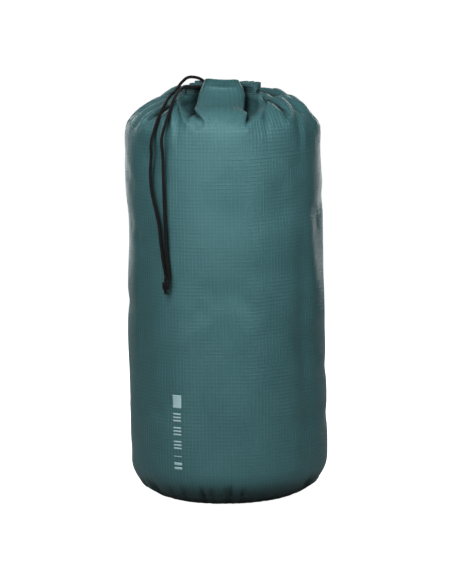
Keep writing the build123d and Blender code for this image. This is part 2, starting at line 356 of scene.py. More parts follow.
class ClothSurface:
    """A smooth surface over the grid of the settled cloth. Places on it are fractional columns and rows."""

    def __init__(self, grid, lengths):
        self.rows = len(lengths)
        self.lengths = lengths
        self.set_grid(grid)

    def set_grid(self, grid):
        below = 2 * grid[:1] - grid[1:2]
        above = 2 * grid[-1:] - grid[-2:-1]
        self.padded = np.concatenate([below, grid, above])

    def at(self, columns, rows):
        columns, rows = np.broadcast_arrays(np.asarray(columns, float), np.asarray(rows, float))
        rows = np.clip(rows, 0, self.rows - 1)
        column0 = np.floor(columns).astype(int)
        row0 = np.minimum(np.floor(rows).astype(int), self.rows - 2)
        across = spline_weights(columns - column0)
        up = spline_weights(rows - row0)
        total = np.zeros(columns.shape + (3,))
        for i in range(4):
            for j in range(4):
                weight = (up[i] * across[j])[..., None]
                total += weight * self.padded[row0 + i, (column0 + j - 1) % COLUMNS]
        total[..., :2] *= 1 - tucks(columns, self.length_at(rows))[..., None] / SEAM_RADIUS
        return total

    def normal(self, columns, rows, step=0.35):
        rows = np.clip(np.asarray(rows, float), step, self.rows - 1 - step)
        around = self.at(columns + step, rows) - self.at(columns - step, rows)
        up = self.at(columns, rows + step) - self.at(columns, rows - step)
        normal = np.cross(around, up)
        return normal / np.maximum(np.linalg.norm(normal, axis=-1, keepdims=True), 1e-12)

    def patch(self, columns, rows, lift=0.0):
        """A grid of places lying over the surface by lift, which may differ from row to row."""
        columns, rows = columns[None, :], rows[:, None]
        return self.at(columns, rows) + self.normal(columns, rows) * np.reshape(lift, (-1, 1, 1))

    def row_at(self, length):
        return np.interp(length, self.lengths, np.arange(self.rows))

    def length_at(self, row):
        return np.interp(row, np.arange(self.rows), self.lengths)

    def column_at(self, angle, row):
        """The column whose cloth lies at this angle round the sack, in the given row of the wall."""
        points = self.at(np.arange(COLUMNS, dtype=float), float(row))
        around = np.unwrap(np.arctan2(points[:, 1], points[:, 0]))
        target = angle + 2 * pi * np.round((around[0] - angle) / (2 * pi))
        while target < around[0]:
            target += 2 * pi
        return float(np.interp(target, np.append(around, around[0] + 2 * pi), np.arange(COLUMNS + 1)))


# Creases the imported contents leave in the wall: (angle, height, length, width, depth, slope in degrees)
CREASES = (
    (-52, 0.456, 0.016, 0.005, 0.0016, 4),
    (-145, 0.378, 0.060, 0.050, 0.0035, 0),
    (-16, 0.415, 0.040, 0.009, 0.0022, 22),
    (12, 0.398, 0.034, 0.011, 0.0024, -30),
    (-8, 0.232, 0.026, 0.008, 0.0022, -48),
    (8, 0.196, 0.030, 0.009, 0.0026, -44),
    (-70, 0.300, 0.050, 0.016, 0.0014, 8),
    (-30, 0.330, 0.060, 0.018, 0.0014, -12),
    (-95, 0.210, 0.050, 0.014, 0.0016, 15),
)


# Long swells and hollows of the wall: (angle, height, half width, half height, push)
SWELLS = (
    (-63, 0.17, 0.022, 0.15, -0.0034),
    (-84, 0.20, 0.020, 0.16, 0.0012),
    (-38, 0.22, 0.026, 0.16, 0.0014),
    (-3, 0.24, 0.016, 0.18, -0.0040),
    (-112, 0.24, 0.016, 0.12, -0.0022),
    (88, 0.30, 0.030, 0.14, -0.0026),
    (140, 0.22, 0.026, 0.16, -0.0030),
    (178, 0.33, 0.030, 0.10, -0.0022),
)


def arc(angle, at_angle):
    """How far round the wall each angle is from another, in metres."""
    return np.angle(np.exp(1j * (angle - at_angle))) * WALL_RADIUS


def swell(angle, height, at_angle, at_height, wide, tall, push):
    """A soft bulge, or a hollow where the push is negative."""
    return push * np.exp(-((arc(angle, at_angle) / wide) ** 2) - ((height - at_height) / tall) ** 2)


def lumps(angle, height):
    """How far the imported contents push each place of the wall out, in metres."""
    draw = np.random.default_rng(5)
    total = np.zeros_like(angle)
    for _ in range(70):
        at_angle, at_height = draw.uniform(-pi, pi), draw.uniform(0.05, 0.50)
        wide, tall = draw.uniform(0.020, 0.055), draw.uniform(0.018, 0.050)
        total += swell(angle, height, at_angle, at_height, wide, tall, draw.normal(0, 0.0018))
    for _ in range(46):
        at_angle, at_height = draw.uniform(-pi, pi), draw.uniform(0.07, 0.49)
        length, wide = draw.uniform(0.020, 0.050), draw.uniform(0.006, 0.012)
        depth, slope = draw.uniform(0.0018, 0.0038), draw.uniform(-0.7, 0.7)
        total += crease(angle, height, at_angle, at_height, length, wide, depth, slope)
    for at_angle, *values in SWELLS:
        total += swell(angle, height, radians(at_angle), *values)
    for at_angle, *values, slope in CREASES:
        total += crease(angle, height, radians(at_angle), *values, radians(slope))
    beside_cord = np.exp(-((off_angle(angle, -90) / radians(26)) ** 4))
    beside_cord *= smooth_step(height, 0.20, 0.25) * (1 - smooth_step(height, 0.49, 0.52))
    total -= beside_cord * np.maximum(total, 0)
    return total * np.clip((height - 0.025) / 0.04, 0, 1) * np.clip((0.545 - height) / 0.05, 0, 1)


def crease(angle, height, at_angle, at_height, length, width, depth, slope):
    """A soft valley with a faint ridge below it, fading out at both ends."""
    across = arc(angle, at_angle)
    up = height - at_height
    along = across * cos(slope) + up * sin(slope)
    off = (up * cos(slope) - across * sin(slope)) / width
    return -depth * np.exp(-((along / length) ** 2)) * (1 - 0.8 * off) * np.exp(-(off**2))


def in_view(across, depth):
    """A place seen from above, given in the camera's view: across to the right, depth towards the camera."""
    view = radians(VIEW_AZIMUTH)
    return np.array([across * cos(view) + depth * sin(view), across * sin(view) - depth * cos(view)])


# Folds running out over the shoulder, in the view: (start, end, depth, width, side its ridge is on)
SHOULDER_FOLDS = (
    ((0.056, 0.020), (0.059, 0.118), 0.0040, 0.0040, 1),
    ((0.068, 0.004), (0.108, 0.056), 0.0130, 0.0075, -1),
    ((0.086, -0.012), (0.124, 0.034), 0.0034, 0.0050, 1),
    ((0.100, 0.050), (0.104, 0.086), 0.0030, 0.0050, -1),
    ((0.048, 0.040), (0.040, 0.112), 0.0016, 0.0060, 1),
    ((-0.080, 0.032), (-0.120, 0.052), 0.0062, 0.0060, -1),
    ((-0.054, 0.028), (-0.092, 0.086), 0.0058, 0.0070, 1),
    ((-0.062, 0.062), (-0.060, 0.114), 0.0040, 0.0040, 1),
    ((-0.074, 0.066), (-0.074, 0.106), 0.0034, 0.0040, -1),
    ((-0.092, 0.000), (-0.128, 0.022), 0.0030, 0.0050, 1),
)


def shoulder_folds(grid):
    """How far the sharper folds of the shoulder push its cloth in or out, in metres."""
    total = np.zeros(grid.shape[:2])
    draw = np.random.default_rng(8)
    folds = [(in_view(*start), in_view(*end), *rest) for start, end, *rest in SHOULDER_FOLDS]
    for turn in np.arange(40, 215, 17.0) + draw.uniform(-5, 5, 11):
        bend = draw.uniform(-14, 14)
        ways = ((0.062, radians(turn)), (0.124, radians(turn + bend)))
        ends = [reach * np.array([cos(way), sin(way)]) for reach, way in ways]
        folds.append((*ends, draw.uniform(0.0020, 0.0042), draw.uniform(0.004, 0.007), draw.choice((-1, 1))))
    for start, end, depth, width, side in folds:
        run = end - start
        along = ((grid[..., :2] - start) @ run) / (run @ run)
        off = (grid[..., 0] - start[0]) * run[1] - (grid[..., 1] - start[1]) * run[0]
        off = off / np.linalg.norm(run) / width
        fade = np.sin(pi * np.clip(along, 0, 1)) ** 0.7
        total += depth * fade * (0.5 * np.exp(-((off - 1.7 * side) ** 2)) - np.exp(-(off**2)))
    return total * smooth_step(grid[..., 2], 0.475, 0.500)


def settled_surface():
    grid, lengths = simulate_gather()
    cord_row = len(lengths) - 1
    grid, lengths = stand_neck(set_shoulder(grid), lengths)
    surface = ClothSurface(grid, lengths)
    columns, rows = np.meshgrid(np.arange(COLUMNS, dtype=float), np.arange(len(lengths), dtype=float))
    angle = np.arctan2(grid[..., 1], grid[..., 0])
    push = lumps(angle, grid[..., 2]) + shoulder_folds(grid)
    surface.set_grid(grid + surface.normal(columns, rows) * push[..., None])
    return surface, cord_row


surface, cord_row = settled_surface()
CORD_LENGTH_AT = surface.lengths[cord_row]
STITCH_ROW = float(surface.row_at(CORD_LENGTH_AT - HEM_BELOW_CORD))
TOP_ROW = float(surface.rows - 1)
CIRCUMFERENCE = 2 * pi * WALL_RADIUS


# ---------------------------------------------------------------- meshes


def make_object(name, points, faces, material, corners=None):
    """A smooth-shaded mesh object. Corners holds a pair, in metres of cloth, for each corner of each face."""
    mesh = bpy.data.meshes.new(name)
    mesh.from_pydata(np.asarray(points, float).reshape(-1, 3).tolist(), [], faces)
    mesh.polygons.foreach_set("use_smooth", [True] * len(mesh.polygons))
    if corners is not None:
        layer = mesh.uv_layers.new(name="cloth")
        layer.data.foreach_set("uv", np.asarray(corners, np.float32).reshape(-1))
    mesh.materials.append(material)
    thing = bpy.data.objects.new(name, mesh)
    bpy.context.scene.collection.objects.link(thing)
    return thing


def sheet_corners(across, along):
    """Corner coordinates for a grid's faces, from those of its columns and its rows."""
    corners = []
    for low, high in zip(along, along[1:]):
        for left, right in zip(across, across[1:]):
            corners += [(left, low), (right, low), (right, high), (left, high)]
    return corners


def make_sheet(name, grid, across, along, material, closed=True, looped=False):
    faces = grid_faces(*grid.shape[:2], closed, looped)
    return make_object(name, grid, faces, material, sheet_corners(across, along))


def shifted(faces, base):
    return [tuple(base + v for v in face) for face in faces]


def thicken(thing, thickness, offset=-1.0):
    solidify = thing.modifiers.new("Thickness", "SOLIDIFY")
    solidify.thickness = thickness
    solidify.offset = offset
    return thing


FINE_COLUMNS = np.arange(COLUMNS * 2) / 2
FINE_ACROSS = np.arange(COLUMNS * 2 + 1) / (COLUMNS * 2) * CIRCUMFERENCE


def body_panel(material):
    rows = np.append(np.linspace(0, STITCH_ROW, 2 * int(STITCH_ROW) + 1), STITCH_ROW + 0.35)
    grid = surface.patch(FINE_COLUMNS, rows)
    grid[-1] -= 0.0003 * surface.normal(FINE_COLUMNS, rows[-1])
    sheet = make_sheet("body_panel_cloth", grid, FINE_ACROSS, surface.length_at(rows), material)
    return thicken(sheet, CLOTH_THICKNESS)


def hem(material):
    """The hem as a closed loop of cloth: up the outside, over the fold, and down the inside."""
    outer_rows = np.append(STITCH_ROW - 0.12, np.linspace(STITCH_ROW, TOP_ROW, 11))
    rows = np.concatenate([outer_rows, outer_rows[::-1]])
    outside = np.arange(24) < 12
    lengths = surface.length_at(rows)
    puff = np.exp(-(((lengths - CORD_LENGTH_AT) / 0.0042) ** 2))
    offset = np.where(outside, 0.0004 * puff, -0.0006 - 0.0028 * puff)
    offset[11], offset[12] = 0.0002, -0.0005
    offset[0], offset[1] = -0.0002, 0.0001
    grid = surface.patch(FINE_COLUMNS, rows, offset)
    grid[11:13, :, 2] += 0.0004
    along = np.concatenate([lengths[:12], 2 * lengths[11] - lengths[12:]])
    along = np.append(along, along[-1] + 0.001)
    return make_sheet("drawcord_hem_cloth", grid, FINE_ACROSS, along, material, looped=True)


def tube_rings(path, radius, sides=14):
    """Rings of points round a path, and how far along it each ring is."""
    path = np.asarray(path, float)
    tangents = np.gradient(path, axis=0)
    tangents /= np.linalg.norm(tangents, axis=1, keepdims=True)
    side = np.cross(tangents[0], (0.0, 0.0, 1.0))
    if np.linalg.norm(side) < 0.1:
        side = np.cross(tangents[0], (1.0, 0.0, 0.0))
    turn = (np.arange(sides) * 2 * pi / sides)[:, None]
    radii = np.broadcast_to(radius, len(path))
    grid = []
    for point, reach, tangent in zip(path, radii, tangents):
        side = side - tangent * np.dot(side, tangent)
        side /= np.linalg.norm(side)
        grid.append(point + reach * (np.cos(turn) * side + np.sin(turn) * np.cross(tangent, side)))
    return np.array(grid), distances(path)


def tube_faces(rings, sides):
    """The faces of a tube, with a cap at each end."""
    last = (rings - 1) * sides
    return [*grid_faces(rings, sides), tuple(reversed(range(sides))), tuple(range(last, last + sides))]


def turned(faces):
    """The same faces, seen from their other side."""
    return [tuple(reversed(face)) for face in faces]


def tube_corners(sides, travelled):
    """Corner coordinates of a tube's turned faces: round it in turns, and along it in metres."""
    corners = sheet_corners(np.arange(sides + 1) / sides, travelled)
    return [corners[4 * (k // 4) + 3 - k % 4] for k in range(len(corners))]


def tube_mesh(name, rings, travelled, material):
    """A closed round cord."""
    count, sides = rings.shape[:2]
    caps = [(0.5, travelled[0])] * sides + [(0.5, travelled[-1])] * sides
    corners = tube_corners(sides, travelled) + caps
    thing = make_object(name, rings, turned(tube_faces(count, sides)), material, corners)
    for face in list(thing.data.polygons)[-2:]:
        face.use_smooth = False
    ends = {*range(sides), *range((count - 1) * sides, count * sides)}
    for edge in thing.data.edges:
        edge.use_edge_sharp = ends.issuperset(edge.vertices)
    return thing


def bars(name, starts, ends, material, lift=0.00018, thread=0.00023, fill=0.72):
    """Short lengths of thread on the cloth, each from one place to another. A place is (column, row)."""
    first, last = surface.at(*starts.T), surface.at(*ends.T)
    ups = surface.normal(*starts.T) + surface.normal(*ends.T)
    sides, profile = 6, ((-0.5, 0.25), (-0.42, 0.8), (-0.2, 1.0), (0.2, 1.0), (0.42, 0.8), (0.5, 0.25))
    points, faces = [], []
    for start, end, up in zip(first, last, ups):
        middle, run = (start + end) / 2, end - start
        up = up / np.linalg.norm(up)
        across = np.cross(run, up)
        across /= max(np.linalg.norm(across), 1e-9)
        base = len(points)
        for along, wide in profile:
            dip = -0.5 * thread * (2 * abs(along)) ** 3
            centre = middle + run * fill * along + up * (lift + dip)
            for s in range(sides):
                turn = 2 * pi * s / sides
                points.append(centre + wide * thread * (cos(turn) * across + sin(turn) * up))
        faces += shifted(tube_faces(len(profile), sides), base)
    return make_object(name, points, faces, material)


def stitches(name, columns, rows, material):
    """A row of stitches on the cloth, one between each pair of neighbouring places."""
    columns, rows = np.broadcast_arrays(np.asarray(columns, float), np.asarray(rows, float))
    places = np.stack([columns, rows], 1)
    return bars(name, places[:-1], places[1:], material)


# ---------------------------------------------------------------- materials


class Nodes:
    """A short way to build a node tree."""

    def __init__(self, owner):
        self.owner = owner
        owner.use_nodes = True
        self.tree = owner.node_tree
        self.shader = self.tree.nodes.get("Principled BSDF")

    def add(self, kind, inputs=None, **settings):
        node = self.tree.nodes.new(kind)
        for key, value in settings.items():
            setattr(node, key, value)
        for key, value in (inputs or {}).items():
            self.put(node.inputs[key], value)
        return node

    def put(self, socket, value):
        if isinstance(value, bpy.types.NodeSocket):
            self.tree.links.new(value, socket)
        else:
            socket.default_value = value

    def math(self, operation, *values):
        node = self.add("ShaderNodeMath", operation=operation)
        for socket, value in zip(node.inputs, values):
            self.put(socket, value)
        return node.outputs[0]

    def smooth(self, value, low, high, to_low=0.0, to_high=1.0):
        inputs = {"Value": value, "From Min": low, "From Max": high, "To Min": to_low, "To Max": to_high}
        return self.add("ShaderNodeMapRange", inputs, interpolation_type="SMOOTHSTEP").outputs[0]

    def mix(self, amount, first, second):
        node = self.add("ShaderNodeMix", data_type="RGBA")
        self.put(node.inputs["Factor"], amount)
        self.put(node.inputs[6], first)
        self.put(node.inputs[7], second)
        return node.outputs[2]

    def cloth_place(self):
        """The cloth's own coordinates in metres, and those across and along it apart."""
        place = self.add("ShaderNodeUVMap", uv_map="cloth").outputs[0]
        apart = self.add("ShaderNodeSeparateXYZ", {"Vector": place})
        return place, apart.outputs[0], apart.outputs[1]

    def solid(self):
        return self.add("ShaderNodeTexCoord").outputs["Object"]

    def noise(self, vector, scale, detail=2.0, roughness=0.5):
        inputs = {"Vector": vector, "Scale": scale, "Detail": detail, "Roughness": roughness}
        return self.add("ShaderNodeTexNoise", inputs).outputs["Fac"]

    def bump(self, height, distance, strength=1.0, normal=None):
        inputs = {"Height": height, "Distance": distance, "Strength": strength}
        node = self.add("ShaderNodeBump", inputs)
        if normal is not None:
            self.put(node.inputs["Normal"], normal)
        return node.outputs["Normal"]

    def set(self, **values):
        for key, value in values.items():
            self.put(self.shader.inputs[key.replace("_", " ")], value)
        return self.owner


def material_nodes(name):
    return Nodes(bpy.data.materials.new(name))


def shade_of(colour, factor):
    return [c * factor for c in colour[:3]] + [1.0]


def grain(nodes, tone, noise, amount):
    """Adds a share of a noise to a tone, lighter and darker by as much."""
    return nodes.math("ADD", tone, nodes.math("MULTIPLY", nodes.math("SUBTRACT", noise, 0.5), amount))


def ridges(nodes, coordinate, pitch, width):
    """1 on the lines of a grid, falling to 0 between them."""
    turns = nodes.math("DIVIDE", coordinate, pitch)
    off = nodes.math("PINGPONG", turns, 0.5)
    return nodes.smooth(off, 0.0, width / pitch, 1.0, 0.0)


GRID_PITCH = 0.0050  # of the ripstop's thicker threads
WEAVE_PITCH = 0.00042


def ripstop(name, colour, dark, light):
    """Coated ripstop: a plain weave with thicker threads both ways, uneven dye and a soft sheen."""
    nodes = material_nodes(name)
    place, across, along = nodes.cloth_place()
    drift = nodes.noise(place, 9.0)
    across = nodes.math("ADD", across, nodes.math("MULTIPLY", drift, 0.004))
    uprights = ridges(nodes, across, GRID_PITCH, 0.0011)
    wander = nodes.noise(place, 26.0, 2.0)
    levels = ridges(nodes, along, GRID_PITCH, 0.0011)
    levels = nodes.math("MULTIPLY", levels, nodes.smooth(wander, 0.34, 0.62, 0.45, 1.0))
    uprights = nodes.math("MULTIPLY", uprights, nodes.smooth(wander, 0.38, 0.66, 1.0, 0.45))
    grid = nodes.math("MAXIMUM", uprights, nodes.math("MULTIPLY", levels, 0.8))
    threads = [ridges(nodes, way, WEAVE_PITCH, WEAVE_PITCH / 2) for way in (across, along)]
    weave = nodes.math("MULTIPLY", *threads)
    blotch = nodes.noise(nodes.solid(), 14.0, 3.0)
    mottle = nodes.noise(place, 420.0, 3.0, 0.6)
    streak_place = nodes.add("ShaderNodeMapping", {"Vector": place, "Scale": (900.0, 25.0, 1.0)}).outputs[0]
    streak = nodes.noise(streak_place, 1.0, 2.0)
    tone = nodes.smooth(blotch, 0.3, 0.7, 0.35, 0.65)
    tone = grain(nodes, grain(nodes, tone, mottle, 0.35), streak, 0.45)
    ground = nodes.mix(tone, dark, light)
    ground = nodes.mix(nodes.math("MULTIPLY", uprights, 0.30), ground, shade_of(colour, 1.7))
    # Partly rubbed wear and partly a painted highlight: the colour is lightened on the sharpest ridges of the
    # folds.
    ridge_wear_and_highlight = nodes.smooth(nodes.add("ShaderNodeNewGeometry").outputs["Pointiness"], 0.53, 0.62)
    ground = nodes.mix(nodes.math("MULTIPLY", ridge_wear_and_highlight, 0.10), ground, shade_of(colour, 2.2))
    ground = nodes.mix(nodes.math("MULTIPLY", levels, 0.34), ground, shade_of(colour, 0.45))
    # Painted shade: where ambient occlusion finds creases and hollows within 45 mm, the colour is darkened
    # towards a tenth of the teal.
    painted_crevice_shade = nodes.add("ShaderNodeAmbientOcclusion", {"Distance": 0.045}, samples=8).outputs["AO"]
    ground = nodes.mix(nodes.smooth(painted_crevice_shade, 0.34, 0.92), shade_of(colour, 0.10), ground)
    normal = nodes.bump(grid, 0.0005, 0.7)
    normal = nodes.bump(weave, 0.00008, 0.35, normal)
    normal = nodes.bump(mottle, 0.0006, 0.12, normal)
    rough = nodes.smooth(blotch, 0.3, 0.7, 0.40, 0.50)
    rough = nodes.math("SUBTRACT", rough, nodes.math("MULTIPLY", grid, 0.06))
    return nodes.set(
        Base_Color=ground, Roughness=rough, Normal=normal, Specular_IOR_Level=0.60,
        Specular_Tint=(0.62, 0.92, 0.94, 1.0), Sheen_Weight=0.06, Sheen_Roughness=0.4,
        Sheen_Tint=(0.45, 0.75, 0.78, 1.0),
    )


def braid(name):
    """Braided cord: two families of strands crossing, near black, with a dull shine."""
    nodes = material_nodes(name)
    place, turn, travelled = nodes.cloth_place()
    round_cord = nodes.math("MULTIPLY", turn, 8.0)
    down_cord = nodes.math("DIVIDE", travelled, 0.0016)
    one_way = nodes.math("PINGPONG", nodes.math("ADD", round_cord, down_cord), 0.5)
    other_way = nodes.math("PINGPONG", nodes.math("SUBTRACT", round_cord, down_cord), 0.5)
    height = nodes.smooth(nodes.math("MINIMUM", one_way, other_way), 0.0, 0.28)
    fuzz = nodes.noise(nodes.solid(), 1600.0, 3.0, 0.7)
    # Painted shade: the gaps between the strands are coloured darker than the strands' crowns, which the fuzz
    # varies at random.
    tone = nodes.math("MULTIPLY", height, nodes.smooth(fuzz, 0.25, 0.75, 0.6, 1.0))
    colour = nodes.mix(tone, (0.0018, 0.0014, 0.0018, 1.0), (0.0115, 0.0085, 0.0105, 1.0))
    normal = nodes.bump(height, 0.0005, 0.9)
    normal = nodes.bump(fuzz, 0.0002, 0.4, normal)
    return nodes.set(
        Base_Color=colour, Roughness=0.55, Normal=normal, Specular_IOR_Level=0.25, Sheen_Weight=0.03
    )


def melted(name):
    """The heat-sealed end of a cord: dark, smooth and a little glossy."""
    nodes = material_nodes(name)
    ripple = nodes.noise(nodes.solid(), 900.0, 2.0, 0.5)
    shade = nodes.mix(ripple, (0.006, 0.005, 0.006, 1.0), (0.020, 0.016, 0.018, 1.0))
    return nodes.set(Base_Color=shade, Roughness=0.32, Normal=nodes.bump(ripple, 0.0003, 0.5))


def thread(name, colour):
    nodes = material_nodes(name)
    twist = nodes.noise(nodes.solid(), 2600.0, 2.0, 0.6)
    shade = nodes.mix(nodes.smooth(twist, 0.3, 0.7), shade_of(colour, 0.6), colour)
    normal = nodes.bump(twist, 0.0002, 0.5)
    return nodes.set(Base_Color=shade, Roughness=0.55, Normal=normal, Sheen_Weight=0.2)


def ink(name):
    """Pale screen print, thin enough for the cloth's grid to show, and rubbed through in small specks."""
    nodes = material_nodes(name)
    place, across, along = nodes.cloth_place()
    grid = nodes.math("MAXIMUM", *(ridges(nodes, way, GRID_PITCH, 0.0009) for way in (across, along)))
    specks = nodes.noise(place, 1500.0, 3.0, 0.7)
    shade = nodes.mix(nodes.smooth(specks, 0.60, 0.72), (0.50, 0.74, 0.78, 1.0), (0.20, 0.36, 0.38, 1.0))
    shade = nodes.mix(nodes.math("MULTIPLY", grid, 0.15), shade, (0.30, 0.50, 0.52, 1.0))
    return nodes.set(Base_Color=shade, Roughness=0.5, Normal=nodes.bump(grid, 0.0003, 0.4))


def tape(name):
    nodes = material_nodes(name)
    rib = ridges(nodes, nodes.cloth_place()[1], 0.0009, 0.00045)
    # Painted shade: the grooves between the ribs are coloured darker than the ribs.
    shade = nodes.mix(rib, (0.012, 0.016, 0.018, 1.0), (0.035, 0.045, 0.050, 1.0))
    return nodes.set(Base_Color=shade, Roughness=0.8, Normal=nodes.bump(rib, 0.0003, 0.8))


TEAL = (0.060, 0.168, 0.182, 1.0)
TEAL_DARK = (0.045, 0.137, 0.149, 1.0)
TEAL_LIGHT = (0.078, 0.200, 0.215, 1.0)
cloth_wall = ripstop("ripstop_cloth", TEAL, TEAL_DARK, TEAL_LIGHT)
cord_braid = braid("braided_cord")
seam_thread = thread("sewing_thread", (0.050, 0.125, 0.135, 1.0))
print_ink = ink("print_ink")
binding_tape = tape("binding_tape")
sealed_end = melted("sealed_cord_end")

# ---------------------------------------------------------------- sewn pieces


def place_piece(piece, body, slot, *nodes):
    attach(piece, body)
    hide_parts(*nodes)


def across_neck(piece, slot, *nodes):
    """For a piece that runs from the wall over the whole shoulder, which is drawn up with it."""
    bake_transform(piece)
    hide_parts(*nodes)


across_neck(body_panel(cloth_wall), "cloth_wall", "body_panel")
place_piece(hem(cloth_wall), "neck", "cloth_hem", "drawcord_hem")


def base_panel(material):
    """The round base: its rim follows the wall's foot, tucks run in from it, and its middle rests flat."""
    columns = np.arange(COLUMNS, dtype=float)
    rim = surface.at(columns, 0.0)
    seam = np.hypot(rim[:, 0], rim[:, 1])
    angle = np.arctan2(rim[:, 1], rim[:, 0])
    draw = np.random.default_rng(21)
    waves = sum(
        draw.uniform(0.3, 1.0) * np.sin(count * angle + draw.uniform(0, 2 * pi)) for count in (19, 27, 34, 41)
    )
    flat_share = BASE_FLAT / seam.mean()
    rings = np.concatenate([np.linspace(1.0, flat_share, 16), np.linspace(flat_share, 0.0, 14)[1:]])
    grid = []
    for ring in rings:
        radius = seam * ring
        rise = np.clip((radius - BASE_FLAT) / (seam - BASE_FLAT), 0, 1)
        tuck = 0.0006 * waves * rise * (1 - rise) * 4
        height = rim[:, 2] * rise**1.8 + np.abs(tuck) * 0.9
        grid.append(np.stack([radius * np.cos(angle), radius * np.sin(angle), height], 1))
    grid = np.array(grid)
    count = len(rings)
    points = np.concatenate([grid[:-1].reshape(-1, 3), [[0, 0, grid[-1, 0, 2]]]])
    faces = turned(grid_faces(count - 1, COLUMNS))
    centre = len(points) - 1
    last = (count - 2) * COLUMNS
    faces += [(last + (j + 1) % COLUMNS, last + j, centre) for j in range(COLUMNS)]
    corners = [(points[v][0], points[v][1]) for face in faces for v in face]
    return thicken(make_object("base_panel_cloth", points, faces, material, corners), CLOTH_THICKNESS)


place_piece(base_panel(cloth_wall), "sack", "cloth_base", "base_panel")
seam_line = stitches("base_seam_thread", np.linspace(0, COLUMNS, 268), 0.32, seam_thread)
place_piece(seam_line, "sack", "thread", "base_seam_stitching")
hem_line = stitches("hem_thread", np.linspace(0, COLUMNS, 300), STITCH_ROW + 0.1, seam_thread)
place_piece(hem_line, "neck", "thread", "hem_stitching")

SIDE_COLUMN = surface.column_at(radians(90), surface.row_at(0.25))
COLUMN_WIDTH = CIRCUMFERENCE / COLUMNS


def side_seam():
    """Both rows of thread down the back, and the felled allowance behind them."""
    lengths = np.arange(0.006, surface.length_at(STITCH_ROW) - 0.004, 0.0032)
    rows = surface.row_at(lengths)
    for side, away in (("left", -0.003), ("right", 0.003)):
        line = stitches(f"side_seam_thread_{side}", SIDE_COLUMN + away / COLUMN_WIDTH, rows, seam_thread)
        across_neck(line, "thread", "side_seam_stitching")
    strip_rows = np.arange(1.0, STITCH_ROW - 1.5, 0.5)
    grid = surface.patch(SIDE_COLUMN + np.linspace(-0.005, 0.005, 9) / COLUMN_WIDTH, strip_rows, -0.0011)
    across, along = np.linspace(0, 0.010, 9), surface.length_at(strip_rows)
    strip = thicken(make_sheet("side_seam_cloth", grid, across, along, cloth_wall, closed=False), 0.0007)
    across_neck(strip, "cloth_inside", "side_seam_allowance")


side_seam()


def binding(material):
    """The tape round the base seam's raw edges, standing inside the sack."""
    columns = np.arange(COLUMNS, dtype=float)
    foot = surface.at(columns, 0.0)
    angle = np.arctan2(foot[:, 1], foot[:, 0])
    inward = -np.stack([np.cos(angle), np.sin(angle), -0.35 * np.ones(COLUMNS)], 1)
    profile = ((0.0015, -0.0008), (0.0105, -0.0008), (0.0110, 0.0), (0.0105, 0.0008), (0.0015, 0.0008))
    grid = np.array([foot + inward * reach + np.array([0, 0, 0.0012 + rise]) for reach, rise in profile])
    closed = np.concatenate([grid, grid[:1]])
    across = np.arange(COLUMNS + 1) * COLUMN_WIDTH
    return make_sheet("base_binding_tape", closed, across, np.linspace(0, 0.022, len(closed)), material)


place_piece(binding(binding_tape), "sack", "binding", "base_seam_binding")


def printed_mark(material):
    """A plain block and a ladder of plain bars, as one thin film on the cloth, within the CAD's own bars."""
    low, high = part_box("printed_mark")
    middle_column = surface.column_at(radians(-86), surface.row_at(0.12))
    width = (high.x - low.x) / COLUMN_WIDTH
    bars_down = [(high.z, 0.018, 0.94)]
    bars_down += [(top - 0.0046 * k, 0.0024, 0.80) for top in (0.133, 0.114, 0.095) for k in range(3)]
    bars_down += [(0.074, 0.0012, 0.80), (0.065, 0.0040, 0.80), (0.0585, 0.0040, 0.80)]
    points, faces, corners = [], [], []
    for top, tall, share in bars_down:
        lengths = np.linspace(top - tall, top, max(3, int(tall / 0.001))) - HEEL_TOP + HEEL_CLOTH
        rows = surface.row_at(lengths)
        columns = middle_column + np.linspace(-0.5, 0.5, 16) * width * share
        faces += shifted(grid_faces(len(rows), len(columns), closed=False), len(points))
        points += list(surface.patch(columns, rows, 0.00012).reshape(-1, 3))
        corners += sheet_corners(columns * COLUMN_WIDTH, lengths)
    return thicken(make_object("printed_mark_film", points, faces, material, corners), 0.0001, 1.0)


place_piece(printed_mark(print_ink), "sack", "ink", "printed_mark")


# ---------------------------------------------------------------- the cord


def cloth_tree():
    """The outside of the cloth, for laying the cord on it."""
    columns = np.arange(COLUMNS, dtype=float)
    rows = np.arange(0, TOP_ROW + 0.01, 0.5)
    points = surface.patch(columns, rows).reshape(-1, 3).tolist()
    return BVHTree.FromPolygons(points, grid_faces(len(rows), COLUMNS))


CLOTH = cloth_tree()
OUTSIDE_FOCUS = 0.44


def smooth_path(points, spacing=0.0012):
    """A smooth line through the points, with its places evenly spaced."""
    points = np.asarray(points, float)
    padded = np.concatenate([2 * points[:1] - points[1:2], points, 2 * points[-1:] - points[-2:-1]])
    dense = []
    for k in range(len(points) - 1):
        a, b, c, d = padded[k:k + 4]
        t = np.linspace(0, 1, 24, endpoint=False)[:, None]
        squared, cubed = (2 * a - 5 * b + 4 * c - d) * t**2, (3 * b - a - 3 * c + d) * t**3
        dense.append(0.5 * (2 * b + (c - a) * t + squared + cubed))
    dense = np.concatenate(dense + [points[-1:]])
    travelled = distances(dense)
    at = np.linspace(0, travelled[-1], max(4, int(travelled[-1] / spacing)))
    return np.stack([np.interp(at, travelled, dense[:, k]) for k in range(3)], 1)


def outward_from(point):
    """The direction from inside the sack out through a point."""
    focus = Vector((0, 0, min(point[2], OUTSIDE_FOCUS)))
    return (Vector(point) - focus).normalized()


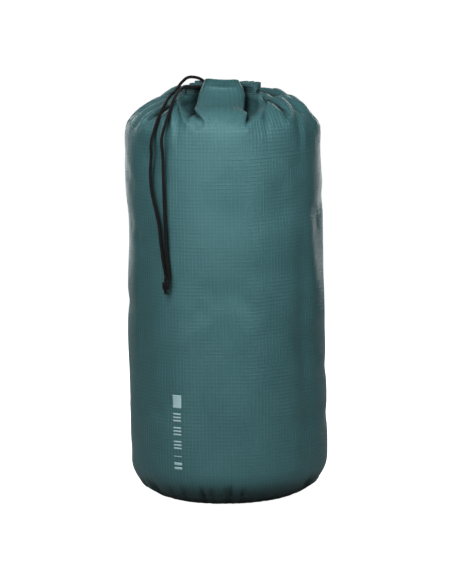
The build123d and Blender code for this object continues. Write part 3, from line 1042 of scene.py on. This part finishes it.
def lay_on_cloth(path, radius, free, clearance=0.0013, stiffness=12):
    """Moves a path on to the cloth, past its first free metres, bridging the narrow valleys."""
    out = np.array([outward_from(p)[:] for p in path])
    depth = np.zeros(len(path))
    for k, point in enumerate(path):
        start = Vector(point) + Vector(out[k]) * 0.12
        hit = CLOTH.ray_cast(start, -Vector(out[k]), 0.4)[0]
        depth[k] = (hit - Vector(point)).dot(Vector(out[k])) if hit is not None else depth[max(k - 1, 0)]
    laid = smooth_step(distances(path), free - 0.008, free + 0.008)
    floor = (depth + radius + clearance) * laid
    kernel = np.exp(-0.5 * (np.arange(-3 * stiffness, 3 * stiffness + 1) / stiffness) ** 2)
    kernel /= kernel.sum()
    lift = floor.copy()
    for _ in range(60):
        lift = np.maximum(np.convolve(np.pad(lift, 3 * stiffness, mode="edge"), kernel, "valid"), floor)
    soft = np.exp(-0.5 * (np.arange(-12, 13) / 4) ** 2)
    lift = np.convolve(np.pad(lift, 12, mode="edge"), soft / soft.sum(), "valid")
    return path + out * np.maximum(lift, floor - 0.0003)[:, None] * laid[:, None]


def on_dome(x, y):
    """A place over the shoulder, at the height that a plain dome has there."""
    spread = min(1.0, max(0.0, sqrt(x * x + y * y) - 0.0475) / 0.088)
    return (x, y, SHOULDER_HEIGHT + 0.084 * sqrt(1 - spread**2))


def on_wall(x, height):
    """A place on the front of the wall, at a sideways offset and a height."""
    return (x, -sqrt(WALL_RADIUS**2 - x**2), height)


def from_view(across, depth, height):
    return (*in_view(across, depth), height)


def joint_place(name):
    return Vector(next(j for j in frame["joints"] if j["name"] == name)["pos_m"])


BEND_PIVOT = joint_place("cord_hang")
SWING_PIVOT = joint_place("cord_swing")
KNOT_PIVOT = joint_place("knot_tilt")

# Each strand from its hole in the hem to the knot: in the air at the mouth (across, depth and height in the
# view), over the shoulder (x, y) and down the wall (x, height)
STRAND_PLACES = {
    "left": (
        ((-0.019, 0.017, 0.568), (-0.027, 0.022, 0.5765), (-0.036, 0.026, 0.5805), (-0.046, 0.028, 0.5805),
         (-0.054, 0.030, 0.5740)),
        ((-0.031, -0.062), (-0.028, -0.078), (-0.023, -0.098), (-0.0205, -0.117)),
        ((-0.0205, 0.503), (-0.0225, 0.482), (-0.0255, 0.458), (-0.0240, 0.434), (-0.0175, 0.408),
         (-0.0128, 0.388), (-0.0108, 0.366), (-0.0078, 0.343), (-0.0042, 0.325), (-0.0022, 0.317)),
    ),
    "right": (
        ((-0.022, 0.021, 0.562), (-0.029, 0.025, 0.5665), (-0.040, 0.029, 0.5670)),
        ((-0.0235, -0.056), (-0.0205, -0.071), (-0.012, -0.093), (-0.0055, -0.114)),
        ((-0.0028, 0.508), (-0.0024, 0.484), (-0.0030, 0.458), (-0.0030, 0.430), (-0.0028, 0.400),
         (-0.0020, 0.366), (-0.0004, 0.343), (0.0014, 0.325), (0.0020, 0.317)),
    ),
}
STRANDS = {
    side: ([from_view(*p) for p in air], [on_dome(*p) for p in shoulder], [on_wall(*p) for p in wall])
    for side, (air, shoulder, wall) in STRAND_PLACES.items()
}


def past(pivot, up, back=0.0):
    return pivot + Vector((0, back, up))


def strand(side):
    """Five lengths of one strand. Each crosses one joint, and meets the next on the body they share."""
    air, shoulder, wall = STRANDS[side]
    free = distances(np.array(air))[-1] + 0.004
    path = lay_on_cloth(smooth_path([*air, *shoulder, *wall]), CORD_RADIUS, free)
    rings, travelled = tube_rings(path, CORD_RADIUS)
    out = np.hypot(path[:, 0], path[:, 1])
    first = int(np.argmax((out > 0.085) & (travelled > free)))
    middle = (BEND_PIVOT.z + SWING_PIVOT.z) / 2
    lower = (int(np.argmax((path[:, 2] < z) & (travelled > free))) for z in (middle, 0.425, 0.329))
    cuts = [0, first, *lower, len(path) - 1]
    swing_line = Vector((0, SWING_PIVOT.y, 0))
    bends = (
        ("neck", "shoulder_cords", Vector(air[-2]), Vector(path[first])),
        ("shoulder_cords", "bend_cords", past(BEND_PIVOT, 0.010, 0.006), past(BEND_PIVOT, -0.009, -0.003)),
        ("bend_cords", "hanging_cords", past(SWING_PIVOT, 0.009), past(SWING_PIVOT, -0.012)),
        ("hanging_cords", "lower_cords", past(swing_line, 0.415), past(swing_line, 0.334)),
        ("lower_cords", "knot", past(KNOT_PIVOT, 0.008), past(KNOT_PIVOT, -0.001)),
    )
    names = ("shoulder", "bend", "hanging", "lower", "end")
    for name, begin, end, (body_a, body_b, start, stop) in zip(names, cuts, cuts[1:], bends):
        part = slice(begin, end + 1)
        piece = tube_mesh(f"cord_{side}_{name}_braid", rings[part], travelled[part], cord_braid)
        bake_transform(piece)
        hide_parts(f"cord_{side}_{name if name != 'end' else 'lower'}")


KNOT_SCALE = 0.00128
KNOT_DEPTH = 0.0017  # how far its loops pass before and behind each other
KNOT_CORD = 0.00145  # radius of the cord where the knot squeezes it
KNOT_DROP = 0.0085  # how far the knot's middle hangs under its joint


def knot_path(offset):
    """One cord's way through an overhand knot: in at the top, round, through its own loop and out below."""
    t = np.linspace(radians(14), radians(346), 60)
    flat = np.stack([np.sin(t) + 2 * np.sin(2 * t), np.cos(t) - 2 * np.cos(2 * t)], 1) * KNOT_SCALE
    depth = -np.sin(3 * t) * KNOT_DEPTH
    ahead = np.gradient(flat, axis=0)
    ahead /= np.linalg.norm(ahead, axis=1, keepdims=True)
    flat = flat + offset * np.stack([-ahead[:, 1], ahead[:, 0]], 1)
    return np.stack([flat[:, 0], depth, flat[:, 1]], 1)


def knot():
    """An overhand knot tied in both cords together, with two short sealed ends."""
    centre = np.array([KNOT_PIVOT.x + 0.0004, KNOT_PIVOT.y - 0.0036, KNOT_PIVOT.z - KNOT_DROP])
    for side, offset, lean in (("left", -0.0012, -0.0016), ("right", 0.0012, 0.0018)):
        loop = knot_path(offset)
        top = np.array([[lean * 0.9, 0.0024, 0.0098], [lean * 0.9, 0.0012, 0.0070]])
        below = ((0.7, -0.0010, -0.0062), (1.1, 0.0002, -0.0092), (1.5, 0.0008, -0.0118))
        tail = np.array(below) * (lean, 1.0, 1.0)
        path = smooth_path(np.concatenate([top, loop, tail]) + centre, spacing=0.0006)
        radius = np.full(len(path), KNOT_CORD)
        radius[:10] = np.linspace(CORD_RADIUS, KNOT_CORD, 10)
        cut = len(path) - 9
        rings, travelled = tube_rings(path, radius, 12)
        piece = tube_mesh(f"knot_{side}_braid", rings[:cut + 1], travelled[:cut + 1], cord_braid)
        place_piece(piece, "knot", "cord", "end_knot")
        radius = KNOT_CORD * np.array([1.0, 1.0, 1.02, 1.05, 1.10, 1.14, 1.10, 0.92, 0.45])
        rings, travelled = tube_rings(path[cut:], radius, 12)
        tip = tube_mesh(f"cord_tip_{side}_seal", rings, travelled, sealed_end)
        place_piece(tip, "knot", "cord", f"cord_tip_{side}")


def channel_cord():
    """The cord inside the hem's tunnel, once round."""
    columns = np.linspace(0, COLUMNS, 3 * COLUMNS, endpoint=False)
    loop = surface.at(columns, float(cord_row)) - 0.0013 * surface.normal(columns, float(cord_row))
    kernel = np.ones(9) / 9
    loop = np.stack([np.convolve(np.pad(loop[:, k], 4, mode="wrap"), kernel, "valid") for k in range(3)], 1)
    rings, travelled = tube_rings(np.concatenate([loop, loop[:1]]), 0.0013, 10)
    faces, corners = turned(grid_faces(len(rings), 10)), tube_corners(10, travelled)
    ring = make_object("channel_cord_braid", rings, faces, cord_braid, corners)
    place_piece(ring, "neck", "cord", "channel_cord")


def nearest_place(point):
    """The column and row of the hem's cloth nearest to a point."""
    columns = np.arange(0, COLUMNS, 0.5)
    rows = np.linspace(STITCH_ROW + 0.6, TOP_ROW - 0.6, 24)
    away = np.linalg.norm(surface.patch(columns, rows) - np.array(point), axis=-1)
    row, column = np.unravel_index(np.argmin(away), away.shape)
    return columns[column], rows[row]


def buttonhole(side):
    """A ring of satin stitches round the place where a strand leaves the tunnel."""
    column, row = nearest_place(STRANDS[side][0][0])
    here, there = surface.at(column, row), surface.at(column + 1, row)
    per_column = np.linalg.norm(there - here)
    per_row = np.linalg.norm(surface.at(column, row + 0.5) - surface.at(column, row - 0.5))
    inner, outer = [], []
    for turn in np.linspace(0, 2 * pi, 34, endpoint=False):
        for reach, places in ((0.0023, inner), (0.0040, outer)):
            places.append((column + reach * cos(turn) / per_column, row + reach * sin(turn) / per_row))
    inner, outer = np.array(inner), np.array(outer)
    place_piece(
        bars(f"buttonhole_{side}_thread", inner, outer, seam_thread, thread=0.00042, fill=1.0),
        "neck", "thread", "exit_buttonholes",
    )


for strand_side in ("left", "right"):
    strand(strand_side)
    buttonhole(strand_side)
knot()
channel_cord()

# ---------------------------------------------------------------- floor, light and camera

VIEW_ELEVATION = 9.5
VIEW_DISTANCE = 6.0
VIEW_HEIGHT = 0.8048
VIEW_TARGET = Vector((0, 0, 0.279))
VIEW_LEAN = 1.2
FLOOR_LIFT = 1.0


def pale_floor_material():
    """Near white, and lifted towards the camera only, so that the floor runs into the white surroundings."""
    nodes = material_nodes("pale_floor")
    seen = nodes.add("ShaderNodeLightPath").outputs["Is Camera Ray"]
    return nodes.set(
        Base_Color=nodes.mix(seen, (0.38, 0.38, 0.38, 1.0), (0.88, 0.88, 0.88, 1.0)), Roughness=0.9,
        Emission_Color=(1.0, 1.0, 1.0, 1.0), Emission_Strength=nodes.math("MULTIPLY", seen, FLOOR_LIFT),
    )


def floor():
    size = 14.0
    level = -0.0003
    corners = [(-size, -size, level), (size, -size, level), (size, size, level), (-size, size, level)]
    ground = make_object("floor", corners, [(0, 1, 2, 3)], pale_floor_material())


def place_in_view(name, data, azimuth, elevation, distance, target):
    """Adds a light or a camera that looks at the target from an azimuth and an elevation."""
    thing = bpy.data.objects.new(name, data)
    a, e = radians(azimuth), radians(elevation)
    away = Vector((sin(a) * cos(e), -cos(a) * cos(e), sin(e)))
    thing.location = Vector(target) + away * distance
    thing.rotation_euler = away.to_track_quat("Z", "Y").to_euler()
    bpy.context.scene.collection.objects.link(thing)
    return thing


def soft_light(name, from_camera, elevation, distance, size, power):
    """A rectangular soft light, its azimuth counted from the camera's."""
    light = bpy.data.lights.new(name, "AREA")
    light.shape = "RECTANGLE"
    light.size, light.size_y = size
    light.energy = power
    place_in_view(name, light, VIEW_AZIMUTH + from_camera, elevation, distance, (0, 0, 0.30))


def studio_world():
    """White to the camera; to the sack, a little light from behind and almost none from in front."""
    world = bpy.data.worlds.new("studio")
    bpy.context.scene.world = world
    nodes = Nodes(world)
    nodes.tree.nodes.clear()
    output = nodes.add("ShaderNodeOutputWorld")
    place = nodes.add("ShaderNodeTexCoord").outputs["Generated"]
    a = radians(VIEW_AZIMUTH)
    behind = {0: place, 1: (-sin(a), cos(a), 0.0)}
    facing = nodes.add("ShaderNodeVectorMath", behind, operation="DOT_PRODUCT").outputs["Value"]
    strength = nodes.smooth(facing, -0.35, 0.75, 0.01, 0.08)
    white = (1.0, 1.0, 1.0, 1.0)
    lighting = nodes.add("ShaderNodeBackground", {"Color": white, "Strength": strength}).outputs[0]
    backdrop = nodes.add("ShaderNodeBackground", {"Color": white, "Strength": 1.0}).outputs[0]
    seen = nodes.add("ShaderNodeLightPath").outputs["Is Camera Ray"]
    mix = nodes.add("ShaderNodeMixShader", {0: seen, 1: lighting, 2: backdrop})
    nodes.put(output.inputs["Surface"], mix.outputs[0])


def camera():
    data = bpy.data.cameras.new("camera")
    data.sensor_width = 36
    data.lens = 36 * VIEW_DISTANCE / VIEW_HEIGHT
    data.clip_start = 0.05
    thing = place_in_view("camera", data, VIEW_AZIMUTH, VIEW_ELEVATION, VIEW_DISTANCE, VIEW_TARGET)
    thing.rotation_euler.rotate_axis("Z", radians(-VIEW_LEAN))
    bpy.context.scene.camera = thing


floor()
studio_world()
soft_light("front_box", -22, 42, 1.05, (0.34, 0.6), 4.6)
soft_light("left_box", -34, 12, 1.15, (0.34, 0.7), 1.9)
soft_light("right_box", 26, 30, 1.05, (0.34, 0.6), 4.2)
soft_light("back_left_box", -155, 14, 1.3, (0.5, 1.0), 5.0)
soft_light("back_right_box", 156, 14, 1.3, (0.5, 1.0), 5.0)
camera()
bpy.context.scene.view_settings.view_transform = "Standard"
